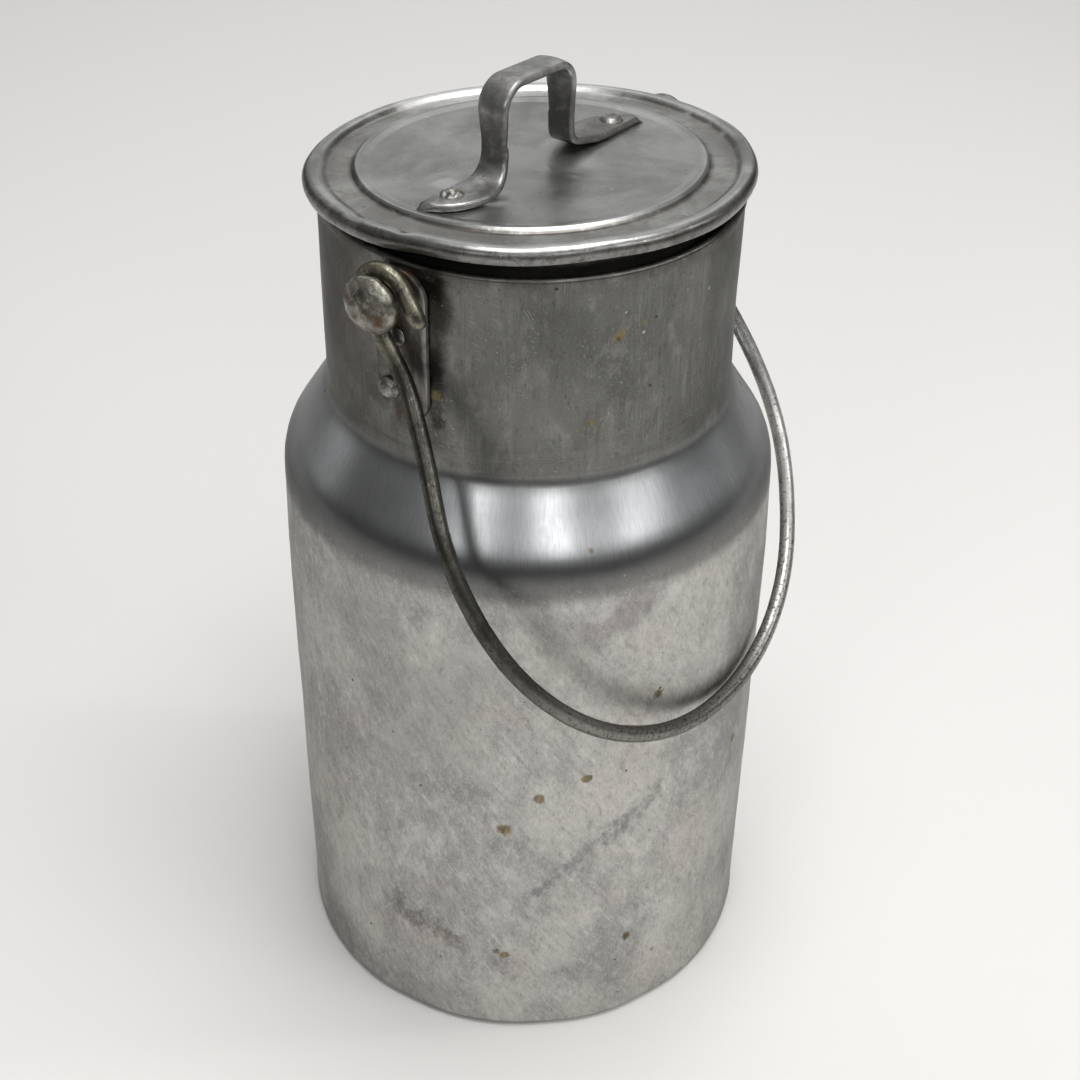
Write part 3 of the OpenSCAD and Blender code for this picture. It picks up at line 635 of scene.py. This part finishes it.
def make_body():
    """Spun shell: base, wall, shoulder, neck and rolled lip, hollow inside."""
    outer = rounded([
        (0, 0, 0), (BODY_R, 0, 2.6), (BODY_R, 128, 90), (BODY_R - 0.8, SHOULDER_Z, 16),
        (NECK_R, NECK_Z, 6), (NECK_R, LIP_TOP - 3.4, 2), (NECK_R + 0.35, LIP_TOP - 1.8, 1.2),
        (NECK_R + 0.35, LIP_TOP, 1.0), (NECK_R - 1.6, LIP_TOP, 0.9),
        (NECK_R - 1.6, LIP_TOP - 2.2, 0.6), (NECK_R - WALL, LIP_TOP - 2.8, 0.6)], 8)
    inner = rounded([
        (NECK_R - WALL, LIP_TOP - 2.8, 0), (NECK_R - WALL, NECK_Z - 0.4, 7.2),
        (BODY_R - 0.8 - WALL, SHOULDER_Z - 0.4, 14.8), (BODY_R - WALL, 128, 90),
        (BODY_R - WALL, WALL, 1.4), (0, WALL, 0)], 12)
    outline = stepped(outer, 2.2)[:-1] + stepped(inner, 6.0)
    rings = turned(outline, 256)
    for angle, z, width, tall, depth in BODY_DENTS:
        dent(rings, angle, z, width, tall, depth)
    flat = rings.reshape(-1, 3)
    away = np.hypot(flat[:, 0], flat[:, 1])
    push = 0.16 * wobble(flat, 30, 1) + 0.05 * wobble(flat, 9, 2)
    push = (push - 0.2) * blend_in(away, 30, 48) * blend_in(flat[:, 2], 0.2, 6)
    flat[:, :2] *= (1 + push / np.maximum(away, 1))[:, None]
    add_piece("can_shell", rings, aluminium, "can", ["can_body"])


make_body()

# ---- ears ----


def make_plate(name, side, node):
    """Riveted sheet with rounded ends that hugs the neck; its edge is rolled over."""
    radius = (plate_high[1] - plate_low[1]) / 2
    middle_y = -side * (plate_high[1] + plate_low[1]) / 2
    straight = (plate_high[2] - plate_low[2]) / 2 - radius
    middle_z = (plate_high[2] + plate_low[2]) / 2
    edge = 0.6
    insets = [(d, PLATE_T) for d in (radius, radius * 0.8, radius * 0.6, radius * 0.4, 1.6, 1.0)]
    insets += [(edge * (1 - math.sin(a)), PLATE_T - edge * (1 - math.cos(a)))
               for a in np.radians((0, 25, 50, 75, 90))]
    insets += [(0, 0.15), (0.15, 0), (radius * 0.5, 0), (radius, 0)]
    turn = np.radians(np.arange(0, 360, 6))
    end = np.where(np.sin(turn) >= 0, 1, -1)
    rings = []
    for depth, lift in insets:
        y = middle_y + (radius - depth) * np.cos(turn)
        z = middle_z + end * straight + (radius - depth) * np.sin(turn)
        out = NECK_R + PLAY + lift
        rings.append(np.stack([side * np.sqrt(out ** 2 - y ** 2), y, z], axis=1))
    rings = np.array(rings)
    flat = rings.reshape(-1, 3)
    flat[:, 0] -= side * 0.12 * np.abs(wobble(flat, 6, 3 + side)) * (np.abs(flat[:, 0]) > NECK_R - 1)
    add_piece(name, rings, ear_sheet, "can", [node])


def side_turned(outline, side, y, z, segments=40, rough=0.0, seed=0, size=3.0):
    """Rings of an outline (radius, distance from the can's axis) turned round a line along X."""
    rings = turned(outline, segments)
    out = np.stack([side * rings[..., 2], y + rings[..., 0], z + rings[..., 1]], axis=-1)
    if rough:
        flat = out.reshape(-1, 3)
        head = blend_in(rings.reshape(-1, 3)[:, 2], 54, 58)
        flat[:, 0] -= side * rough * np.abs(wobble(flat, size, seed)) * head
        centre = np.array([y, z])
        push = 1 + 0.35 * rough * wobble(flat, size * 1.3, seed + 9) / 6
        flat[:, 1:] = centre + (flat[:, 1:] - centre) * push[:, None]
    return out


def make_stud(name, side, node):
    """Domed stud: closing head inside the neck, shank, collar for the wire and a hammered head."""
    head_r = (stud_high[1] - stud_low[1]) / 2
    tip = -stud_low[0]
    head_x = tip - 4.6
    inside = -stud_high[0]
    outline = rounded([
        (0, inside, 0), (4.5, inside, 0.4), (4.5, inside + 1.0, 0.3), (3.0, inside + 1.1, 0.1),
        (3.0, NECK_R + 1.6, 0), (3.7, NECK_R + 1.7, 0.2), (3.7, head_x, 0.2),
        (head_r - 0.3, head_x, 0.5), (head_r, head_x + 1.3, 1.2),
        (head_r * 0.86, head_x + 2.7, 3.0), (head_r * 0.45, tip - 0.25, 3.5), (0, tip, 0)], 12)
    rings = side_turned(stepped(outline, 0.7), side, 0, HINGE_Z, 56, 0.5, 11 + side, 2.6)
    add_piece(name, rings, stud_steel, "can", [node])


def make_small_rivet(name, side, node, low, high, y, seed):
    """Rivet through the plate and the neck with a domed outer head."""
    head_r = (high[2] - low[2]) / 2
    tip = -low[0]
    inside = -high[0]
    under = NECK_R + 1.6
    rise = tip - under
    outline = rounded([
        (0, inside, 0), (head_r - 0.1, inside, 0.3), (head_r - 0.1, inside + 0.9, 0.2),
        (1.6, inside + 1.0, 0.1), (1.6, under, 0.1), (head_r, under, 0.15),
        (head_r - 0.1, under + 0.35 * rise, 0.3), (head_r * 0.6, tip - 0.1 * rise, 1.0),
        (0, tip, 0)], 12)
    rings = side_turned(stepped(outline, 0.5), side, y, (high[2] + low[2]) / 2, 32, 0.12, seed, 1.5)
    add_piece(name, rings, rivet_metal, "can", [node])


for side, word in ((-1, "left"), (1, "right")):
    make_plate("ear_sheet_" + word, side, "ear_plate_" + word)
    make_stud("domed_stud_" + word, side, "ear_stud_" + word)
    for part, low, high, seed in (("rivet_", rivet_low, rivet_high, 21),
                                  ("low_rivet_", low_rivet_low, low_rivet_high, 31)):
        make_small_rivet("plate_" + part + word, side, "ear_" + part + word, low, high,
                         -side * (high[1] + low[1]) / 2, seed + side)

# ---- bail ----

EYE_X = 54.2
EYE_R = 6.0
TAIL = 8.5
SPREAD_U = 20.0
SPREAD_R = 25.0
BOW_R = 63.7
BOW_X = -3.0
BOW_U = 67.4
HANG = 32.0


def leg_angle(side):
    """Angle at which a leg spreads, so that it meets the bow without a kink."""
    reach = np.array([EYE_X - side * BOW_X, BOW_U - SPREAD_U])
    return math.atan2(reach[1], reach[0]) - math.acos(BOW_R / np.linalg.norm(reach))


def bail_side(side):
    """Points of one half of the wire from the tail's end to the bow, as (x, forwards, hanging depth)."""
    angle = leg_angle(side)
    points = [(side * EYE_X, EYE_R, depth) for depth in np.arange(TAIL, 0, -0.75)]
    for a in np.radians(np.arange(0, 181, 7.5)):
        points.append((side * EYE_X, EYE_R * math.cos(a), -EYE_R * math.sin(a)))
    flare = SPREAD_R * math.tan(angle / 2)
    points += [(side * EYE_X, -EYE_R, depth) for depth in np.linspace(0.8, SPREAD_U - flare, 12)]
    for a in np.linspace(0, angle, 6)[1:]:
        points.append((side * (EYE_X + SPREAD_R * (1 - math.cos(a))), -EYE_R,
                       SPREAD_U - flare + SPREAD_R * math.sin(a)))
    meet = np.array([side * BOW_R * math.cos(angle) + BOW_X, BOW_U - BOW_R * math.sin(angle)])
    last = np.array([points[-1][0], points[-1][2]])
    for t in np.linspace(0, 1, 16)[1:]:
        x, depth = last + (meet - last) * t
        points.append((x, -EYE_R, depth))
    return points, angle


def make_bail():
    """One bent wire: two hooked ends, spreading legs and a round bow."""
    left, left_angle = bail_side(-1)
    right, right_angle = bail_side(1)
    bow = [(BOW_X + BOW_R * math.cos(a), -EYE_R, BOW_U + BOW_R * math.sin(a))
           for a in np.linspace(math.pi + left_angle, -right_angle, 110)[1:-1]]
    local = np.array(left + bow + right[::-1])
    hang = math.radians(HANG)
    forward = local[:, 1] * math.cos(hang) + local[:, 2] * math.sin(hang)
    down = local[:, 2] * math.cos(hang) - local[:, 1] * math.sin(hang)
    path = np.stack([local[:, 0], -forward, HINGE_Z - down], axis=1)
    loose = blend_in(local[:, 2], 12, 40)
    bend = np.stack([wobble(path, 34, 41), wobble(path, 34, 42), wobble(path, 34, 43)], axis=1)
    path += bend * loose[:, None] * [0.9, 0.5, 0.9]
    turn = np.radians(np.arange(0, 360, 18))
    ends = [0.0, 0.45, 0.78, 0.95]
    sizes = ends + [1.0] * (len(path) - 2 * len(ends)) + ends[::-1]

    def section(i):
        return [(WIRE_R * sizes[i] * math.cos(a), WIRE_R * sizes[i] * math.sin(a)) for a in turn]

    start, end = path[0], path[-1]
    path[:4] = [start + (path[3] - start) * t for t in (-0.35, -0.25, 0.1, 0.6)]
    path[-4:] = [end + (path[-4] - end) * t for t in (0.6, 0.1, -0.25, -0.35)]
    rings = swept(path, section, (1, 0, 0))
    centre = path[:, None, :]
    flat = rings.reshape(-1, 3)
    push = 1 + 0.02 * wobble(flat, 4.0, 44)
    rings = centre + (rings - centre) * push.reshape(len(path), -1, 1)
    add_piece("bail_wire", rings, wire_steel, "bail", ["bail"], 60)


make_bail()

# ---- lid ----

LID_Z = 225.4
LID_TILT = 3.6
LID_HIGH_SIDE = 239.0
LID_R = 51.4
LID_T = 0.9
RIDGE_H = 3.8
VALLEY_H = 2.7
DISC_R = 39.75
DISC_H = 3.3
DISC_EDGE_H = 3.8
PLUG_R = 45.3
PLUG_H = 13.0

# angle in degrees, its spread, and how far the rim bends outwards and upwards there
RIM_BENDS = (
    (152, 34, 0.9, 0.3), (62, 30, -0.7, 0.0), (-172, 9, -0.5, 0.25), (-148, 7, -0.4, -0.35),
    (-126, 10, -0.25, 0.2), (-96, 16, 0.2, -0.2), (-40, 20, 0.15, 0.2))
# place on the lid, size, and height of each bump or dent
LID_DENTS = (
    (-24, -6, 4, -0.9), (-20.8, 8.4, 3.0, 0.8), (-15, 2, 6, -0.5), (2, -14, 7, -0.5), (14, 12, 9, -0.45),
    (-2.6, -13, 1.0, 0.3), (-2.3, -6.3, 0.9, 0.3), (24, -10, 8, 0.3), (-4, 20, 9, -0.25),
    (-46.4, 11.9, 2.6, -0.7), (-48.1, -1.6, 1.5, -1.0))


def on_lid(points):
    """Points on the level lid moved to the tilted lid's place."""
    high = math.radians(LID_HIGH_SIDE)
    axis = np.array([math.sin(high), -math.cos(high), 0.0])
    angle = math.radians(LID_TILT)
    points = np.asarray(points, float)
    along = (points @ axis)[..., None] * axis
    across = np.cross(np.broadcast_to(axis, points.shape), points)
    turned_points = along + (points - along) * math.cos(angle) + across * math.sin(angle)
    return turned_points + [0, 0, LID_Z]


def battered(rings):
    """Bends the lid's rim out of true and puts shallow dents into its top."""
    flat = rings.reshape(-1, 3)
    angle = np.degrees(np.arctan2(flat[:, 1], flat[:, 0]))
    reach = np.hypot(flat[:, 0], flat[:, 1])
    rim = blend_in(reach, 41, 50)
    push = 0.25 * wobble(flat, 16, 51)
    lift = 0.22 * wobble(flat, 14, 52)
    for at, width, out, up in RIM_BENDS:
        bump = np.exp(-(((angle - at + 180) % 360 - 180) / width) ** 2)
        push += out * bump
        lift += up * bump
    flat[:, :2] *= (1 + push * rim / np.maximum(reach, 1))[:, None]
    flat[:, 2] += lift * rim
    for x, y, size, depth in LID_DENTS:
        spot = np.exp(-((flat[:, 0] - x) ** 2 + (flat[:, 1] - y) ** 2) / size ** 2)
        flat[:, 2] += depth * spot * (blend_in(reach, 40, 36) + blend_in(reach, 42, 45))
    flat[:, 2] += 0.12 * wobble(flat, 12, 53) * blend_in(reach, 40, 36)
    return rings


def make_lid():
    """Pressed cover and, below it, the ring that plugs into the neck."""
    edge_x = DISC_R - 0.3
    top = rounded([
        (0, DISC_H, 0), (edge_x - 2.6, DISC_H, 2.0), (edge_x - 0.9, DISC_EDGE_H, 1.4),
        (edge_x + 0.35, DISC_EDGE_H, 0.5), (DISC_R + 1.2, VALLEY_H, 0.9),
        (46.7, VALLEY_H - 0.1, 1.2), (48.1, RIDGE_H, 1.8), (LID_R - 0.2, RIDGE_H, 2.1),
        (LID_R, 1.3, 1.5), (LID_R - 0.5, 0, 0.3), (LID_R - LID_T - 0.4, 0, 0.3),
        (LID_R - LID_T, 1.3, 0.5), (LID_R - LID_T - 0.3, RIDGE_H - LID_T, 0.6),
        (48.4, RIDGE_H - LID_T, 0.8), (46.9, VALLEY_H - LID_T, 1.2),
        (DISC_R + 2.2, VALLEY_H - LID_T, 1.0),
        (edge_x + 0.1, DISC_EDGE_H - LID_T, 0.5), (edge_x - 0.9, DISC_EDGE_H - LID_T - 0.1, 0.5),
        (edge_x - 2.5, DISC_H - LID_T, 1.0), (0, DISC_H - LID_T, 0)], 12)
    rings = on_lid(battered(turned(stepped(top, 1.6), 320)))
    add_piece("lid_pressing", rings, lid_sheet, "lid", ["lid_cover"])
    flange = VALLEY_H - LID_T - 0.08
    plug_in_r = DISC_R + 3.0
    plug = rounded([
        (plug_in_r, flange - LID_T, 0), (plug_in_r, flange, 0.2), (PLUG_R, flange, 0.8),
        (PLUG_R, flange - PLUG_H, 0.2), (PLUG_R - LID_T, flange - PLUG_H, 0.2),
        (PLUG_R - LID_T, flange - LID_T, 0.4), (plug_in_r, flange - LID_T, 0)], 14)
    rings = turned(stepped(plug, 2.5), 160)
    flat = rings.reshape(-1, 3)
    flat[:, :2] *= (1 - 0.0016 * np.abs(wobble(flat, 18, 54)))[:, None]
    add_piece("lid_plug", on_lid(rings), plug_sheet, "lid", ["lid_plug_ring"])


make_lid()

# ---- lid handle ----

STRAP_T = 1.9
HANDLE_TURN = math.radians(-4.7)
HANDLE_X = -3.0
HANDLE_Y = -3.1
LEFT_LEG = -13.6
RIGHT_LEG = 9.8
LEFT_TIP = -36.0
RIGHT_TIP = 36.0
RIVET_S = 28.2
FOOT_W = 12.0
STRAP_TOP = 22.05
STRAP_HALF_W = 3.3
ROUND = 0.85  # radius of the rounded long edges
FOOT_TOP = 9.0  # the feet and their bends lie below this height


def at_handle(points):
    """Points beside the strap (along, across, up) moved to the handle's place on the lid."""
    points = np.asarray(points, float)
    c, s = math.cos(HANDLE_TURN), math.sin(HANDLE_TURN)
    x = HANDLE_X + points[..., 0] * c - points[..., 1] * s
    y = HANDLE_Y + points[..., 0] * s + points[..., 1] * c
    return on_lid(np.stack([x, y, DISC_H + PLAY + points[..., 2]], axis=-1))


def curve(p0, p1, p2, steps=24):
    """Smooth curve from p0 to p2 that bends towards p1."""
    t = np.linspace(0, 1, steps)[:, None]
    return (1 - t) ** 2 * np.array(p0) + 2 * t * (1 - t) * np.array(p1) + t ** 2 * np.array(p2)


def foot_edges(heel, tip, half):
    """The bulging and the straight edge of one leaf-shaped foot, on the right half."""
    point = (tip, -3.2)
    bulge = curve((heel, half), (tip - 6, FOOT_W), point)
    straight = curve((heel, -half), ((heel + tip) / 2, -half - 1.4), point)
    return bulge, straight


def make_handle():
    """Strap bent into a bridge with two leaf-shaped feet."""
    base = STRAP_T / 2
    line = rounded([
        (LEFT_TIP, base, 0), (LEFT_LEG, base + 0.2, 6.5), (LEFT_LEG, STRAP_TOP, 6.0),
        (RIGHT_LEG, STRAP_TOP, 4.6), (RIGHT_LEG, base + 2.2, 3.2),
        (RIGHT_LEG + 9, base + 0.35, 10), (RIGHT_TIP, base, 0)], 8)
    line = np.array(stepped(line, 0.8))
    half = STRAP_HALF_W
    right = foot_edges(RIGHT_LEG - base, RIGHT_TIP, half)
    left = foot_edges(-LEFT_LEG - base, -LEFT_TIP, half)
    rows = []
    for s, up in line:
        grip = blend_in(up, 8, 18)
        low, high = -half - 0.8 * grip, half + 0.8 * grip
        if up < FOOT_TOP and s > RIGHT_LEG - base:
            high = np.interp(s, right[0][:, 0], right[0][:, 1])
            low = np.interp(s, right[1][:, 0], right[1][:, 1])
        if up < FOOT_TOP and s < LEFT_LEG + base:
            low = -np.interp(-s, left[0][:, 0], left[0][:, 1])
            high = -np.interp(-s, left[1][:, 0], left[1][:, 1])
        rows.append((-high, -low))  # the section's axis points to -across
    edges = np.array(rows)
    path = np.stack([line[:, 0], np.zeros(len(line)), line[:, 1]], axis=1)
    turn = np.radians((-90, -60, -30, 0, 30, 60, 90))

    def section(i):
        low, high = edges[i]
        width = max(high - low, 0.5)
        middle = (high + low) / 2
        edge = min(ROUND, width * 0.45)
        full = min(1.0, width / 3.5)
        points = []
        for sign, angles in ((1, turn), (-1, turn[::-1])):
            for a in angles:
                rise = (base - ROUND) * np.sign(math.sin(a)) if abs(math.sin(a)) > 0.1 else 0
                across = middle + sign * (width / 2 - edge * (1 - math.cos(a)))
                points.append((across, rise + ROUND * math.sin(a)))
            inner = width / 2 - edge
            for t in (0.6, 0.2, -0.2, -0.6):
                crown = 0.3 * (1 - t * t) if sign > 0 else 0
                points.append((middle + sign * inner * t, sign * base + crown))
        return [(across, full * up - (1 - full) * base) for across, up in points]

    rings = swept(path, section, (0, 0, 1))
    flat = rings.reshape(-1, 3)
    flat[:, 1] += 0.12 * wobble(flat, 5, 61)
    closed = [np.broadcast_to(end.mean(axis=0), end.shape) for end in (rings[0], rings[-1])]
    rings = np.concatenate([closed[:1], rings, closed[1:]])
    add_piece("strap_handle", at_handle(rings), strap_sheet, "lid", ["lid_handle"], 50)


def make_lid_rivet(name, s, node, rough, seed):
    """Rivet through a foot and the lid; s is its place along the strap."""
    under = STRAP_T + PLAY
    back = -LID_T - PLAY
    outline = rounded([
        (0, back - 0.8, 0), (2.55, back - 0.8, 0.25), (2.55, back, 0.1), (1.5, back, 0.05),
        (1.5, under, 0.05), (2.9, under, 0.15), (2.8, under + 0.5, 0.4),
        (1.8, under + 1.4, 1.4), (0, under + 1.6, 0)], 12)
    rings = turned(stepped(outline, 0.4), 32)
    flat = rings.reshape(-1, 3)
    top = blend_in(flat[:, 2], under, under + 0.5)
    flat[:, 2] -= top * rough * np.abs(wobble(flat, 1.8, seed)) * 2
    flat[:, :2] *= (1 + top * rough * 0.35 * wobble(flat, 2.2, seed + 1))[:, None]
    flat[:, 0] += s
    add_piece(name, at_handle(rings), rivet_metal, "lid", [node])


make_handle()
make_lid_rivet("strap_rivet_left", -RIVET_S, "lid_rivet_left", 0.5, 71)
make_lid_rivet("strap_rivet_right", RIVET_S, "lid_rivet_right", 0.15, 75)

# ---- stage, light and camera ----

VIEW_AZIMUTH = -55.8
VIEW_ELEVATION = 36.65
VIEW_DISTANCE = 0.4775
VIEW_TARGET = Vector((0.0019, -0.0027, 0.1207))
VIEW_ROLL = 0.0155
LENS = 60.6
LIGHT_TARGET = Vector((0, 0, 0.13))

# name, azimuth, elevation, distance, width, height and watts
LIGHTS = (
    ("window_left", -24.5, 34, 1.1, 0.26, 0.22, 0.85),
    ("window_middle", 15, 34, 1.1, 0.27, 0.22, 1.15),
    ("window_right", 58, 34, 1.1, 0.50, 0.22, 1.85),
    ("side_strip", 92, 34, 1.1, 0.07, 0.3, 0.8),
    ("low_left", -108, 9, 1.2, 0.5, 0.16, 0.2),
    ("low_right", 112, 9, 1.2, 0.5, 0.16, 0.12),
    ("low_back", 180, 12, 1.2, 1.2, 0.2, 0.8),
    ("back_panel", 190, 42, 1.2, 1.3, 0.55, 1.9),
    ("ceiling", 60, 82, 1.2, 0.8, 0.8, 12.5))


def direction(azimuth, elevation):
    """Unit vector from the object towards a place seen at that azimuth and elevation, in degrees."""
    a, e = math.radians(azimuth), math.radians(elevation)
    return Vector((math.sin(a) * math.cos(e), -math.cos(a) * math.cos(e), math.sin(e)))


def make_floor():
    """Plain pale paper below the can."""
    size = 3.0
    mesh = bpy.data.meshes.new("floor")
    corners = [(x * size, y * size, -0.0002) for x, y in ((-1, -1), (1, -1), (1, 1), (-1, 1))]
    mesh.from_pydata(corners, [], [(0, 1, 2, 3)])
    s = Shader("floor_paper", 0.0)
    mesh.materials.append(s.finish((0.78, 0.77, 0.75), 0.9, s.bump(s.noise(3.0), 0.02)))
    placed("floor", mesh)


def add_light(name, azimuth, elevation, distance, width, height, watts):
    """Rectangular lamp that points at the can; its azimuth counts from the camera's."""
    data = bpy.data.lights.new(name, "AREA")
    data.shape = "RECTANGLE"
    data.size = width
    data.size_y = height
    data.energy = watts
    lamp = placed(name, data)
    lamp.location = LIGHT_TARGET + direction(VIEW_AZIMUTH + azimuth, elevation) * distance
    lamp.rotation_euler = (LIGHT_TARGET - lamp.location).to_track_quat("-Z", "Y").to_euler()


def make_world():
    """Soft light from above that darkens towards the horizon."""
    world = bpy.data.worlds.new("studio")
    world.use_nodes = True
    tree = world.node_tree
    place = tree.nodes.new("ShaderNodeTexCoord")
    parts = tree.nodes.new("ShaderNodeSeparateXYZ")
    ramp = tree.nodes.new("ShaderNodeValToRGB")
    tree.links.new(place.outputs["Generated"], parts.inputs[0])
    tree.links.new(parts.outputs["Z"], ramp.inputs["Fac"])
    tree.links.new(ramp.outputs["Color"], tree.nodes["Background"].inputs["Color"])
    stops = ramp.color_ramp.elements
    stops[0].position, stops[0].color = 0.0, (0.13, 0.13, 0.13, 1)
    stops[1].position, stops[1].color = 1.0, (0.80, 0.80, 0.81, 1)
    for height, grey in ((0.55, 0.62), (0.12, 0.14)):
        stops.new(height).color = (grey, grey, grey, 1)
    tree.nodes["Background"].inputs["Strength"].default_value = 0.35
    bpy.context.scene.world = world


def make_camera():
    """Camera that looks down on the can from its left ear's side."""
    data = bpy.data.cameras.new("camera")
    data.lens = LENS
    data.sensor_width = 36
    camera = placed("camera", data)
    camera.location = VIEW_TARGET + direction(VIEW_AZIMUTH, VIEW_ELEVATION) * VIEW_DISTANCE
    look = (VIEW_TARGET - camera.location).to_track_quat("-Z", "Y").to_matrix()
    camera.rotation_euler = (look @ Matrix.Rotation(VIEW_ROLL, 3, "Z")).to_euler()
    bpy.context.scene.camera = camera


bpy.context.scene.view_settings.view_transform = "Standard"
make_floor()
make_world()
for light in LIGHTS:
    add_light(*light)
make_camera()
